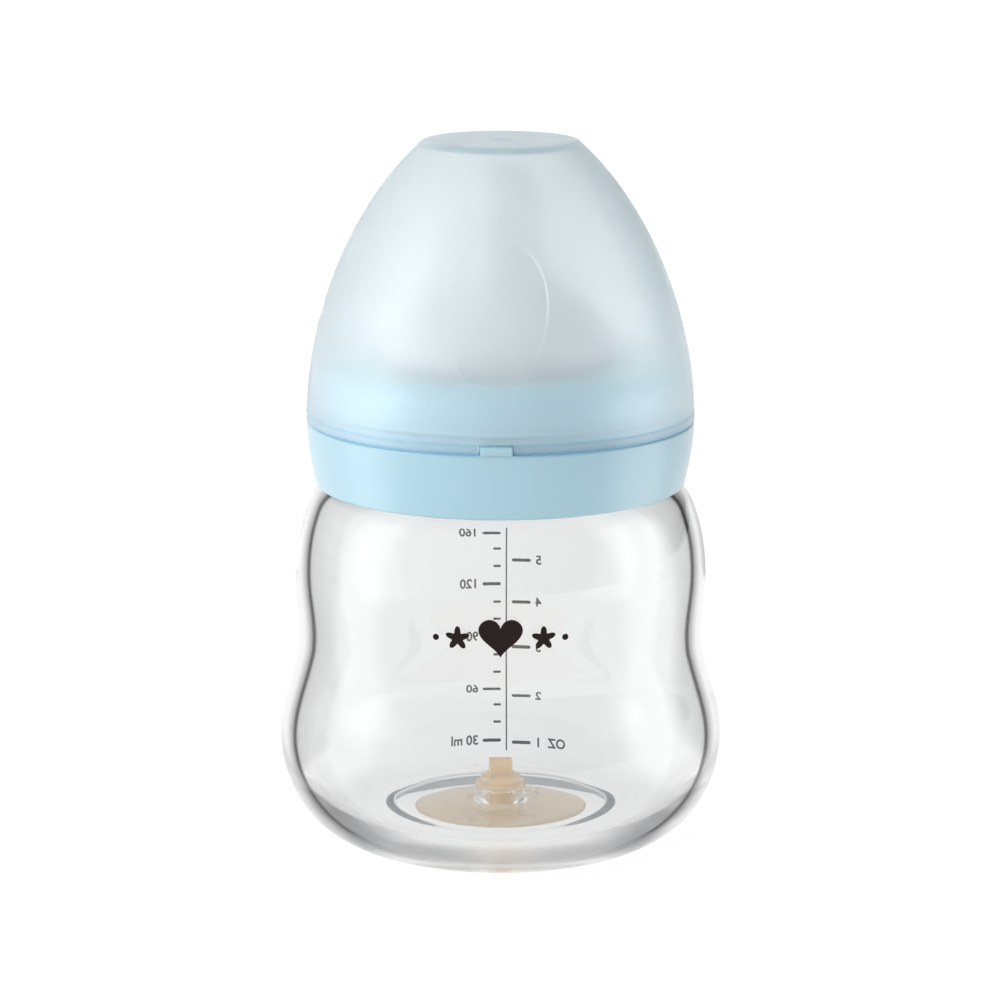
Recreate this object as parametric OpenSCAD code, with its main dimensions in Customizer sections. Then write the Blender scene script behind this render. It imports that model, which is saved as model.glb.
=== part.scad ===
// Wide-neck glass baby bottle: glass body, base vent valve, nipple, screw collar and press-on dust cap.
// Millimetres, +Z up, origin at the centre of the base. The front, with the cap's thumb dish, is -Y.

/* [Glass body] */
// Largest radius, at the lower bulge
bulge_r = 38.75; // [38:0.05:40]
// Height of the lower bulge
bulge_z = 18; // [17:0.5:19]
// Radius at the waist
waist_r = 35.35; // [34.5:0.05:36]
// Height of the waist
waist_z = 36.4; // [35:0.2:38]
// Radius at the upper bulge
upper_r = 35.9; // [35.5:0.05:36.2]
// Height of the upper bulge
upper_z = 47; // [46:0.2:48]
// Wall thickness of the glass
glass_wall = 2.25; // [2:0.05:2.4]
// Width of the rounded heel, from the standing ring out to the bulge
heel_w = 15.6; // [15:0.1:16]
// Height of the flat inner floor
floor_z = 4.6; // [4.4:0.1:4.8]
// Height of the spigot round the valve hole
spigot_z = 7.4; // [7:0.1:7.6]
// Outer radius of the spigot round the valve hole
spigot_r = 4.3; // [4.2:0.05:4.4]

/* [Base recess and valve hole] */
// Radius of the recess under the base
recess_r = 19.45; // [18:0.05:20]
// Depth of the recess under the base
recess_z = 2.8; // [2.6:0.1:3]
// Radius of the valve hole
hole_r = 3; // [2.9:0.05:3.1]

/* [Neck and screw thread] */
// Outer radius of the neck
neck_r = 27; // [26.8:0.05:27.1]
// Height of the rim
rim_z = 81.1; // [81:0.05:81.15]
// Radius at the crest of the neck thread
thread_r = 28.65; // [28.3:0.05:28.7]
// Rise of the thread in one turn
thread_lead = 4.5; // [4.4:0.1:4.8]
// Turns of thread on the neck
neck_turns = 1.25; // [1:0.25:1.25]
// Turns of thread in the collar
collar_turns = 1; // [0.75:0.25:1]

/* [Screw collar] */
// Height of the collar's lower edge
collar_z = 63.2; // [63.1:0.05:63.4]
// Radius at the collar's lower edge
collar_low_r = 32; // [31.9:0.05:32.2]
// Radius at the ledge that the cap stands on
ledge_r = 33.55; // [33.4:0.05:33.7]
// Height of the ledge that the cap stands on
ledge_z = 74.4; // [74.2:0.1:74.6]
// Radius of the boss inside the cap
boss_r = 31.3; // [31.2:0.05:31.35]
// Height of the top of the boss
boss_z = 85; // [84.8:0.1:85.2]
// Radius of the collar's bore
bore_r = 29.2; // [29.1:0.05:29.3]
// Radius of the opening for the nipple
opening_r = 20; // [19.9:0.05:20.2]

/* [Nipple] */
// Radius of the clamped flange
flange_r = 27.6; // [27:0.1:28]
// Height of the tip
tip_z = 118.5; // [117:0.5:119]
// Radius of the teat
teat_r = 6.6; // [6.2:0.1:7]
// Wall thickness of the silicone
nipple_wall = 1.7; // [1.5:0.1:1.9]

/* [Dust cap] */
// Radius of the cap's rim
cap_r = 33.54; // [33.5:0.02:33.6]
// Height of the cap's flat top
cap_z = 122.75; // [122:0.25:124]
// Wall thickness of the cap
cap_wall = 1.5; // [1.4:0.05:1.55]
// Depth of the thumb dish
dish_depth = 0.45; // [0.2:0.05:0.7]
// Length of the thumb dish
dish_len = 26.4; // [22:0.2:28]
// Half the width of the thumb dish
dish_half_w = 8.5; // [7:0.1:9]
// Width of the notch in the cap's rim
notch_w = 6.1; // [5:0.1:7]
// Angle from the front to the notch and the thumb dish
front_turn = -1.2; // [-3:0.2:3]

/* [Vent valve] */
// Radius of the disc under the base
disc_r = 15.5; // [12:0.5:17]
// Radius of the mushroom flange on the spigot
mushroom_r = 4.5; // [4.4:0.1:5]
// Width of the duckbill
bill_w = 4.2; // [3.8:0.1:4.6]
// Height of the duckbill's lips
bill_z = 12.9; // [12:0.1:13]

/* [Hidden] */
$fn = 96;

// Glass: shoulder and rim
shoulder_z = 60;
shoulder_round = 9;
shoulder_steepest = 68;
neck_fillet = 2;
upper_drop = 12.1;
upper_run = 21;
rim_round = 1.1;
inner_heel_w = 12.5;
spigot_foot_round = 0.8;
spigot_top_round = 0.6;
hole_round = 0.3;
ring_in_r = 21;

// Thread form
thread_root_w = 2.2;
thread_crest_w = 1;
thread_sink = 0.5;
thread_parts = 6;
thread_span = 48;
thread_start = 30;
neck_thread_z = 71.3;
thread_mesh = 1.75;
collar_thread_z = neck_thread_z - thread_mesh;
collar_crest_r = neck_r + 0.45;

// Collar
seat_z = 82.9;
boss_round = 4;
bead_z = 77.6;
bead_r = boss_r + 0.55;
lug_clear = 0.3;
lug_h = 1.45;

// Nipple
flange_low_z = rim_z + 0.1;
flange_top_z = seat_z - 0.1;
groove_r = opening_r - 0.4;
hold_r = opening_r + 0.5;
lip_r = 24.2;
lip_z = 79.4;
tip_hole_r = 0.4;

// Cap
cap_low_z = ledge_z + 0.1;
curve_z = 75.77;
curve_h = 53.27;
curve_rise = 1.81;
curve_round = 1.694;
crease_h = 0.9;
rim_band_h = 1.65;
rim_band_out = 0.08;
cap_bead_r = bead_r + 0.1;
dish_mid_z = 96;
mark_r = 1.65;
mark_depth = 0.4;

// Valve
stem_r = hole_r - 0.2;
vent_r = 1.6;
disc_low_z = 0.6;
disc_edge_t = 1.1;
hub_r = 6.5;
slit_w = 3.2;
slit_t = 0.2;

// Points along an arc round [r, z], from one angle to another
function arc(r, z, radius, from, to, steps) =
    [for (i = [0:steps]) let (a = from + (to - from) * i / steps) [r + radius * cos(a), z + radius * sin(a)]];

// Points along part of an ellipse round [r, z]
function oval(r, z, half_w, half_h, from, to, steps) =
    [for (i = [0:steps]) let (a = from + (to - from) * i / steps) [r + half_w * cos(a), z + half_h * sin(a)]];

// Points that ease from radius r0 at z0 to radius r1 at z1, upright at both ends
function ease(r0, z0, r1, z1, steps) =
    [for (i = [0:steps]) [(r0 + r1) / 2 + (r0 - r1) / 2 * cos(180 * i / steps), z0 + (z1 - z0) * i / steps]];

// Points along a cubic curve with two end points and two handles
function bezier(a, b, c, d, steps) =
    [for (i = [0:steps]) let (t = i / steps, s = 1 - t)
        s * s * s * a + 3 * s * s * t * b + 3 * s * t * t * c + t * t * t * d];

// Every point of a list moved to the left of its path by a distance
function inset(path, distance) =
    [for (i = [0:len(path) - 1])
        let (
            step = path[min(i + 1, len(path) - 1)] - path[max(i - 1, 0)],
            unit = step / norm(step)
        )
        path[i] + distance * [-unit[1], unit[0]]];

function reversed(path) = [for (i = [len(path) - 1:-1:0]) path[i]];

// The list without its first point
function rest_of(path) = [for (i = [1:len(path) - 1]) path[i]];

// Screw thread in short lengths with gaps between them: each is a trapezium turned through a short arc
// and tipped to the helix angle. It grows outwards from root_r to crest_r, or inwards if crest_r is smaller.
module thread(root_r, crest_r, start_z, turns) {
    side = sign(crest_r - root_r);
    slope = (thread_root_w - thread_crest_w) / 2 / abs(crest_r - root_r);
    foot_half_w = thread_root_w / 2 + slope * thread_sink;
    foot_r = root_r - side * thread_sink;
    tip_angle = atan(thread_lead / (PI * (root_r + crest_r)));
    for (i = [0:round(turns * thread_parts) - 1])
        translate([0, 0, start_z + thread_lead * i / thread_parts])
        rotate([0, 0, thread_start + 360 * i / thread_parts])
        rotate([tip_angle, 0, 0])
        rotate([0, 0, -thread_span / 2])
        rotate_extrude(angle = thread_span) polygon([
            [foot_r, -foot_half_w],
            [crest_r, -thread_crest_w / 2],
            [crest_r, thread_crest_w / 2],
            [foot_r, foot_half_w]
        ]);
}

// Outer side of the glass, from the bulge up to the top of the rim
function glass_outer_side() =
    let (
        steep = atan(upper_drop * (shoulder_z - upper_z)
            / (upper_run * sqrt(pow(upper_run, 2) - pow(shoulder_z - upper_z, 2)))),
        shoulder_r = upper_r - upper_drop * (1 - sqrt(1 - pow((shoulder_z - upper_z) / upper_run, 2))),
        upper_end = asin((shoulder_z - upper_z) / upper_run),
        shoulder = arc(shoulder_r - shoulder_round * cos(steep), shoulder_z - shoulder_round * sin(steep),
            shoulder_round, steep, shoulder_steepest, 8),
        last = shoulder[len(shoulder) - 1],
        fillet_r = neck_r + neck_fillet,
        fillet_start_r = fillet_r - neck_fillet * cos(shoulder_steepest),
        fillet_start_z = last[1] + (last[0] - fillet_start_r) / tan(shoulder_steepest),
        fillet_z = fillet_start_z + neck_fillet * sin(shoulder_steepest)
    )
    concat(
        ease(bulge_r, bulge_z, waist_r, waist_z, 16),
        rest_of(ease(waist_r, waist_z, upper_r, upper_z, 8)),
        rest_of(oval(upper_r - upper_drop, upper_z, upper_drop, upper_run, 0, upper_end, 10)),
        rest_of(shoulder),
        arc(fillet_r, fillet_z, neck_fillet, 180 + shoulder_steepest, 180, 6),
        [[neck_r, rim_z - rim_round]]
    );

module glass_section() {
    side = glass_outer_side();
    heel = oval(bulge_r - heel_w, bulge_z, heel_w, bulge_z, -90, 0, 14);
    rim = arc(neck_r - rim_round, rim_z - rim_round, rim_round, 0, 90, 5);
    rim_in = arc(neck_r - glass_wall + rim_round, rim_z - rim_round, rim_round, 90, 180, 5);
    inner_side = reversed(inset(side, glass_wall));
    inner_heel = oval(bulge_r - glass_wall - inner_heel_w, bulge_z, inner_heel_w, bulge_z - floor_z, 0, -90, 14);
    spigot = concat(
        arc(spigot_r + spigot_foot_round, floor_z + spigot_foot_round, spigot_foot_round, 270, 180, 5),
        arc(spigot_r - spigot_top_round, spigot_z - spigot_top_round, spigot_top_round, 0, 90, 5),
        arc(hole_r + hole_round, spigot_z - hole_round, hole_round, 90, 180, 3)
    );
    polygon(concat(
        [[hole_r, recess_z], [recess_r, recess_z], [ring_in_r - 0.4, 0.4], [ring_in_r, 0]],
        heel,
        rest_of(side),
        rest_of(rim),
        rim_in,
        rest_of(inner_side),
        rest_of(inner_heel),
        spigot
    ));
}

// Thick glass body with a hand-sized waist, a valve hole in a spigot on its floor, and a threaded neck
module glass_body() {
    color([0.86, 0.9, 0.92, 0.4])
    union() {
        rotate_extrude() glass_section();
        thread(neck_r, thread_r, neck_thread_z, neck_turns);
    }
}

// One-piece silicone vent valve: dished disc under the base, stem, mushroom flange and duckbill
module vent_valve() {
    top_z = recess_z - 0.1;
    edge_z = disc_low_z + disc_edge_t;
    flange_z = spigot_z + 0.1;
    flange_h = 1.2;
    plug_z = flange_z + flange_h;
    plug_r = mushroom_r - 1;
    bill_foot_z = plug_z + 1.2;
    bill_foot_t = 2.8;
    bill_lip_t = 1;
    color([0.95, 0.8, 0.62])
    difference() {
        union() {
            rotate_extrude() polygon(concat(
                [[0, disc_low_z], [disc_r - 0.5, disc_low_z]],
                arc(disc_r - 0.5, disc_low_z + 0.5, 0.5, -90, 0, 4),
                arc(disc_r - 0.5, edge_z - 0.5, 0.5, 0, 90, 4),
                [[hub_r, top_z], [stem_r, top_z], [stem_r, flange_z], [mushroom_r - 0.3, flange_z]],
                arc(mushroom_r - 0.3, flange_z + 0.3, 0.3, -90, 0, 3),
                arc(mushroom_r - 0.8, plug_z - 0.8, 0.8, 0, 90, 5),
                [[plug_r, plug_z]],
                arc(plug_r - 0.4, bill_foot_z - 0.4, 0.4, 0, 90, 4),
                [[0, bill_foot_z]]
            ));
            translate([-bill_w / 2, 0, 0])
            rotate([90, 0, 90])
            linear_extrude(bill_w)
            polygon([
                [-bill_foot_t / 2, bill_foot_z - 0.5],
                [bill_foot_t / 2, bill_foot_z - 0.5],
                [bill_lip_t / 2, bill_z],
                [-bill_lip_t / 2, bill_z]
            ]);
        }
        translate([0, 0, disc_low_z - 1]) cylinder(r = vent_r, h = bill_foot_z - disc_low_z + 0.5);
        translate([-slit_w / 2, -slit_t / 2, bill_foot_z - 1]) cube([slit_w, slit_t, bill_z]);
    }
}

// Outer side of the nipple, from the retaining bead up to the edge of the tip hole
function nipple_outer_side() =
    let (
        breast_low = [hold_r, boss_z + 0.5],
        breast_top = [teat_r, tip_z - 15],
        tip_low = [teat_r, tip_z - teat_r * 0.95]
    )
    concat(
        bezier(breast_low, breast_low + [0, 8], breast_top + [1.2, -8.5], breast_top, 18),
        rest_of(bezier(breast_top, breast_top + [-0.4, 3], tip_low + [0, -3], tip_low, 6)),
        rest_of(oval(0, tip_low[1], teat_r, tip_z - tip_low[1], 0, acos(tip_hole_r / teat_r), 10))
    );

// Soft nipple: flange clamped on the rim, sealing lip, groove for the collar, broad breast and teat
module nipple() {
    side = nipple_outer_side();
    inner = [for (p = reversed(inset(side, nipple_wall))) [max(tip_hole_r, p[0]), p[1]]];
    plate_z = boss_z - 0.5;
    color([0.93, 0.95, 0.96])
    rotate_extrude() polygon(concat(
        [[lip_r - 1.3, lip_z], [lip_r - 0.3, lip_z], [lip_r, lip_z + 0.3], [lip_r, flange_low_z]],
        [[flange_r - 0.3, flange_low_z], [flange_r, flange_low_z + 0.3]],
        [[flange_r, flange_top_z - 0.3], [flange_r - 0.3, flange_top_z]],
        [[groove_r, flange_top_z], [groove_r, plate_z]],
        arc(hold_r - 0.4, plate_z + 0.4, 0.4, -90, 0, 4),
        side,
        inner,
        [[groove_r - nipple_wall, flange_low_z + 0.2], [lip_r - 1.6, flange_low_z]]
    ));
}

// Outer side of the collar's skirt, from its lower edge up to the ledge
function collar_outer_side() =
    [for (i = [0:10]) let (z = collar_z + 0.6 + (ledge_z - 0.3 - collar_z - 0.6) * i / 10)
        [collar_low_r + (ledge_r - collar_low_r) * sin(90 * (z - collar_z) / (ledge_z - collar_z)), z]];

module collar_section() {
    side = collar_outer_side();
    polygon(concat(
        [[bore_r, collar_z + 1.2], [collar_low_r - 0.9, collar_z]],
        arc(side[0][0] - 0.6, collar_z + 0.6, 0.6, -90, 0, 5),
        rest_of(side),
        [[ledge_r - 0.3, ledge_z], [boss_r, ledge_z]],
        [[boss_r, bead_z - 0.8], [bead_r, bead_z], [boss_r, bead_z + 0.8]],
        arc(boss_r - boss_round, boss_z - boss_round, boss_round, 0, 90, 8),
        [[opening_r + 1.4, boss_z - 0.75]],
        arc(opening_r + 0.5, boss_z - 1.3, 0.5, 90, 180, 4),
        [[opening_r, seat_z], [bore_r, seat_z]]
    ));
}

// Screw collar: tapered skirt, ledge for the cap, key lug, rounded boss with an opening, inner thread
module collar() {
    color([0.69, 0.87, 0.92])
    union() {
        rotate_extrude() collar_section();
        thread(bore_r, collar_crest_r, collar_thread_z, collar_turns);
        rotate([0, 0, front_turn])
        intersection() {
            rotate_extrude()
                translate([boss_r - 0.5, ledge_z - 0.5]) square([ledge_r - 0.2 - boss_r + 0.5, lug_h + 0.5]);
            translate([lug_clear - notch_w / 2, -ledge_r - 1, ledge_z - 1])
                cube([notch_w - 2 * lug_clear, 5, lug_h + 2]);
        }
    }
}

// Radius of the cap's outer curve at a height
function cap_curve_r(z) = cap_r * pow(1 - pow(max(0, z - curve_z) / curve_h, curve_rise), 1 / curve_round);

// Side of the cap, from above the rim band to the flat top, moved inwards by a distance
function cap_side(distance) =
    let (
        low_z = cap_low_z + rim_band_h,
        top_z = cap_z - crease_h,
        curve = inset([for (i = [0:30]) let (z = low_z + (top_z - low_z) * sin(90 * i / 30))
            [cap_curve_r(z), z]], distance),
        last = curve[30],
        flat_z = cap_z - distance
    )
    concat(curve, rest_of(bezier(last, last + [-0.5, 0.6] * crease_h, [last[0] - crease_h, flat_z],
        [last[0] - 2 * crease_h, flat_z], 5)));

// The solid inside the cap's side moved inwards by a distance, closed down to a height
module cap_core(distance, low_z) {
    side = cap_side(distance);
    rotate_extrude() polygon(concat([[0, low_z], [side[0][0], low_z]], side, [[0, cap_z - distance]]));
}

// Hollow of the cap, with the snap bead standing into it near the rim
module cap_cavity() {
    side = cap_side(cap_wall);
    low_r = side[0][0];
    rotate_extrude() polygon(concat(
        [[0, cap_low_z - 1], [low_r, cap_low_z - 1], [low_r, cap_low_z + 0.3]],
        [[cap_bead_r, cap_low_z + 0.7], [cap_bead_r, cap_low_z + 0.9], [low_r, cap_low_z + 1.3]],
        side,
        [[0, cap_z - cap_wall]]
    ));
}

// Egg outline of the thumb dish, blunt at the top and narrowing downwards
module egg_outline() {
    polygon([for (a = [0:6:354])
        [dish_half_w * cos(a) * (1 + 0.22 * sin(a) - 0.06 * pow(sin(a), 2)), dish_len / 2 * sin(a)]]);
}

// Shallow layer of the front wall inside the egg outline
module thumb_dish() {
    intersection() {
        translate([0, -cap_r / 3, dish_mid_z]) rotate([90, 0, 0]) linear_extrude(cap_r) egg_outline();
        difference() {
            cap_core(-1, cap_low_z);
            cap_core(dish_depth, cap_low_z - 1);
        }
    }
}

// Frosted press-on dust cap: domed shell, flat top, thumb dish, rim band with a notch, inner snap bead
module dust_cap() {
    band_top = cap_low_z + rim_band_h;
    color([0.87, 0.91, 0.94, 0.6])
    difference() {
        union() {
            cap_core(0, cap_low_z);
            rotate_extrude() polygon([
                [cap_r - 1, cap_low_z],
                [cap_r + rim_band_out, cap_low_z],
                [cap_r + rim_band_out, band_top - 0.15],
                [cap_r - 0.1, band_top],
                [cap_r - 1, band_top]
            ]);
        }
        cap_cavity();
        translate([0, 0, cap_z - mark_depth]) cylinder(r = mark_r, h = 2);
        rotate([0, 0, front_turn]) {
            translate([-notch_w / 2, -cap_r - 2, cap_low_z - 1]) cube([notch_w, 6, 1 + rim_band_h]);
            thumb_dish();
        }
    }
}

glass_body();
vent_valve();
nipple();
collar();
dust_cap();
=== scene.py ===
import math

import bmesh
import bpy
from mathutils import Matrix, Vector


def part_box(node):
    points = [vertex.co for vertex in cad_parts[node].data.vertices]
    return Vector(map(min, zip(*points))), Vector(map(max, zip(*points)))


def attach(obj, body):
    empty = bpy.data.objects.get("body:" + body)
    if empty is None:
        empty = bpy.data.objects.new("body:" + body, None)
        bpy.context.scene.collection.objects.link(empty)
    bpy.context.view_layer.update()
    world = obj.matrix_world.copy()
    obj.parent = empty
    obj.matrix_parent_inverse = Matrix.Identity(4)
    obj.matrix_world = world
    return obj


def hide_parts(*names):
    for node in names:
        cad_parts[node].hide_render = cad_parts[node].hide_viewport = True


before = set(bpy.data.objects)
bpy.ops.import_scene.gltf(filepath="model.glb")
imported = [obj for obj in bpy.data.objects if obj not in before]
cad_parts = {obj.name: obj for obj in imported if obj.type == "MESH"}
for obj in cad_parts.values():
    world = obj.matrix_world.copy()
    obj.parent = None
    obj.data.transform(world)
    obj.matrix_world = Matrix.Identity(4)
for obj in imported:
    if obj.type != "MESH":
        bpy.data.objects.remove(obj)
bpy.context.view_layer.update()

MM = 0.001


# ---------------------------------------------------------------- sizes from the frame, in millimetres

def node_box(node):
    """A node's lowest and highest corners in millimetres."""
    low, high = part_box(node)
    return [v / MM for v in low], [v / MM for v in high]


_, glass_high = node_box("glass_body")
valve_low, valve_high = node_box("vent_valve")
nipple_low, nipple_high = node_box("nipple")
collar_low, collar_high = node_box("collar")
cap_low, cap_high = node_box("dust_cap")

BULGE_R = glass_high[0]
RIM_Z = glass_high[2]
DISC_R = valve_high[0]
VALVE_Z = valve_low[2]
BILL_Z = valve_high[2]
FLANGE_R = nipple_high[0]
LIP_Z = nipple_low[2]
TIP_Z = nipple_high[2]
LEDGE_R = collar_high[0]
COLLAR_Z = collar_low[2]
BOSS_Z = collar_high[2]
CAP_R = -cap_low[1]
CAP_LOW_Z = cap_low[2]
CAP_Z = cap_high[2]

# Glass body
BULGE_Z = 18.0
WAIST_R, WAIST_Z = 35.35, 36.4
UPPER_R, UPPER_Z = 35.9, 47.0
UPPER_DROP, UPPER_RUN = 12.1, 21.0
SHOULDER_Z, SHOULDER_ROUND, SHOULDER_STEEPEST = 60.0, 9.0, 68.0
GLASS_WALL = 2.25
HEEL_W, INNER_HEEL_W = 15.6, 12.5
FLOOR_Z, SPIGOT_Z, SPIGOT_R = 4.6, 7.4, 4.3
RECESS_R, RECESS_Z, RING_IN_R = 19.45, 2.8, 21.0
HOLE_R = 3.0
NECK_R, NECK_FILLET, RIM_ROUND = 27.0, 2.0, 1.1

# Screw thread
THREAD_R, THREAD_LEAD = 28.65, 4.5
THREAD_ROOT_W, THREAD_CREST_W = 2.2, 1.0
THREAD_PARTS, THREAD_SPAN, THREAD_START = 6, 48.0, 30.0
NECK_THREAD_Z, NECK_TURNS = 71.3, 1.25
COLLAR_THREAD_Z, COLLAR_TURNS = NECK_THREAD_Z - 1.75, 1.0

# Collar
COLLAR_LOW_R = 32.0
LEDGE_Z = CAP_LOW_Z - 0.1
BOSS_R, BOSS_ROUND, BORE_R, OPENING_R = 31.3, 4.0, 29.2, 20.0
SEAT_Z, BEAD_Z, BEAD_OUT = 82.9, 77.6, 0.55
LUG_H, LUG_CLEAR = 1.45, 0.3

# Nipple
TEAT_R, NIPPLE_WALL = 6.6, 1.7

# Dust cap
CURVE_Z, CURVE_H, CURVE_RISE, CURVE_ROUND = 75.77, 53.27, 1.81, 1.694
CURVE_STEPS = 190
CAP_WALL, CREASE_H = 1.5, 0.9
BAND_H, BAND_OUT = 1.65, 0.08
NOTCH_W, NOTCH_LIFT = 6.1, 0.86
DISH_Z, DISH_LEN, DISH_HALF_W, DISH_DEPTH, DISH_STEP = 96.0, 26.4, 8.5, 0.45, 0.2
MARK_R, MARK_DEPTH = 1.65, 0.4
FRONT_TURN = math.radians(-1.2)


# ---------------------------------------------------------------- outline helpers: points are (radius, height)

def oval(r, z, half_w, half_h, start, end, steps):
    """Points along part of an ellipse round (r, z), angles in degrees."""
    angles = [math.radians(start + (end - start) * i / steps) for i in range(steps + 1)]
    return [(r + half_w * math.cos(a), z + half_h * math.sin(a)) for a in angles]


def arc(r, z, radius, start, end, steps):
    return oval(r, z, radius, radius, start, end, steps)


def ease(r0, z0, r1, z1, steps):
    """Points from one radius to another, upright at both ends."""
    return [((r0 + r1) / 2 + (r0 - r1) / 2 * math.cos(math.pi * i / steps), z0 + (z1 - z0) * i / steps)
            for i in range(steps + 1)]


def line(a, b, steps):
    """Points from a to b without b."""
    return [(a[0] + (b[0] - a[0]) * i / steps, a[1] + (b[1] - a[1]) * i / steps) for i in range(steps)]


def bezier(a, b, c, d, steps):
    """Points along a cubic curve."""
    points = []
    for i in range(steps + 1):
        t = i / steps
        s = 1 - t
        weights = (s * s * s, 3 * s * s * t, 3 * s * t * t, t * t * t)
        points.append(tuple(sum(w * p[k] for w, p in zip(weights, (a, b, c, d))) for k in (0, 1)))
    return points


def inset(path, distance):
    """Every point of a path moved to the left of its direction."""
    moved = []
    for i, point in enumerate(path):
        before, after = path[max(i - 1, 0)], path[min(i + 1, len(path) - 1)]
        dr, dz = after[0] - before[0], after[1] - before[1]
        length = math.hypot(dr, dz)
        moved.append((point[0] - distance * dz / length, point[1] + distance * dr / length))
    return moved


# ---------------------------------------------------------------- mesh helpers

def make_piece(name, body, nodes, material, verts, faces, crease=40.0):
    """Makes a smooth-shaded mesh piece from millimetre points, and hides the frame's parts that it stands in for.
    """
    mesh = bpy.data.meshes.new(name)
    mesh.from_pydata([(x * MM, y * MM, z * MM) for x, y, z in verts], [], faces)
    bm = bmesh.new()
    bm.from_mesh(mesh)
    bmesh.ops.remove_doubles(bm, verts=bm.verts, dist=1e-7)
    bmesh.ops.dissolve_degenerate(bm, edges=bm.edges, dist=1e-8)
    bmesh.ops.recalc_face_normals(bm, faces=bm.faces)
    bm.to_mesh(mesh)
    bm.free()
    mesh.shade_smooth()
    mesh.set_sharp_from_angle(angle=math.radians(crease))
    mesh.materials.append(material)
    piece = bpy.data.objects.new(name, mesh)
    bpy.context.scene.collection.objects.link(piece)
    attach(piece, body)
    if nodes:
        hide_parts(*nodes)
    return piece


def turned(angle, r, z):
    """A place by its angle from the front towards +X, in radians."""
    return (r * math.sin(angle), -r * math.cos(angle), z)


def even_angles(segments):
    return [2 * math.pi * i / segments for i in range(segments)]


def grid_faces(rows, count, closed=True, all_round=False):
    """Faces between rows of points, count in each row.

    closed joins a row's two ends, and all_round joins the last row to the first."""
    faces = []
    for i in range(rows if all_round else rows - 1):
        here, there = i * count, (i + 1) % rows * count
        for k in range(count if closed else count - 1):
            k2 = (k + 1) % count
            faces.append((here + k, here + k2, there + k2, there + k))
    return faces


def end_faces(rows, count):
    """Faces that shut the first and the last row of a tube."""
    last = (rows - 1) * count
    return [tuple(range(count)), tuple(range(last + count - 1, last - 1, -1))]


def lathe(section, angles, closed, shift=None):
    """Turns a section round the axis. shift(angle, index, r, z) may move each point."""
    verts = []
    for a in angles:
        for k, (r, z) in enumerate(section):
            if shift:
                r, z = shift(a, k, r, z)
            verts.append(turned(a, r, z))
    return verts, grid_faces(len(angles), len(section), closed, all_round=True)


def thread_length(root_r, crest_r, z, middle):
    """One short length of screw thread with rounded ends, as a closed tube of points."""
    steps, verts = 36, []
    side = 1 if crest_r > root_r else -1
    half_crest, half_root = THREAD_CREST_W / 2, THREAD_ROOT_W / 2
    full_from = 0.8
    sunk, least_h, edge_round = 0.4, 0.05, 0.3
    for i in range(steps + 1):
        t = i / steps * 2 - 1
        a = middle + math.radians(THREAD_SPAN / 2) * t
        fade = math.sqrt(max(0.0, 1 - max(0.0, (abs(t) - full_from) / (1 - full_from)) ** 2))
        height = least_h + (abs(crest_r - root_r) - least_h) * fade
        mid_z = z + THREAD_LEAD * (a - middle) / (2 * math.pi)
        round_r = edge_round * fade
        lower = [(-sunk, -half_root - 0.12), (0.0, -half_root), (height - round_r, -half_crest - 0.1),
                 (height - round_r * 0.3, -half_crest + round_r * 0.35), (height, -half_crest + round_r)]
        profile = lower + [(out, -dz) for out, dz in lower[::-1]]
        for out, dz in profile:
            r = root_r + side * out
            verts.append((r * math.cos(a), r * math.sin(a), mid_z + dz))
    rows, count = steps + 1, len(profile)
    return verts, grid_faces(rows, count) + end_faces(rows, count)


def screw_thread(name, body, material, root_r, crest_r, start_z, turns):
    """The whole interrupted thread as one piece of separate lengths."""
    verts, faces = [], []
    for i in range(round(turns * THREAD_PARTS)):
        z = start_z + THREAD_LEAD * i / THREAD_PARTS
        middle = math.radians(THREAD_START + 360 * i / THREAD_PARTS)
        more, quads = thread_length(root_r, crest_r, z, middle)
        faces += [tuple(v + len(verts) for v in f) for f in quads]
        verts += more
    return make_piece(name, body, (), material, verts, faces)


# ---------------------------------------------------------------- materials

GLASS_TINT = (0.90, 0.905, 0.905)
GLASS_IOR, SILICONE_IOR = 1.5, 1.41
GLASS_LETS_IN = 0.94
# Painted shade on the bottle's side: how much of the glass colour is kept, from face on (0) to edge on (1); the
# dark dip stands in for the dark lines of the thick wall
PAINTED_EDGE_SHADE = ((0.0, 1.0), (0.36, 1.0), (0.40, 0.83), (0.57, 0.54), (0.605, 0.43), (0.63, 0.0), (0.66, 0.0),
                  (0.70, 0.25), (0.78, 0.9))
# Where the heel's lifting of the painted edge shade and its softness fade out, in metres over the base
HEEL_SHADE_LIFT_Z, HEEL_SOFT_Z = (0.002, 0.007), (0.0065, 0.0085)


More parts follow.
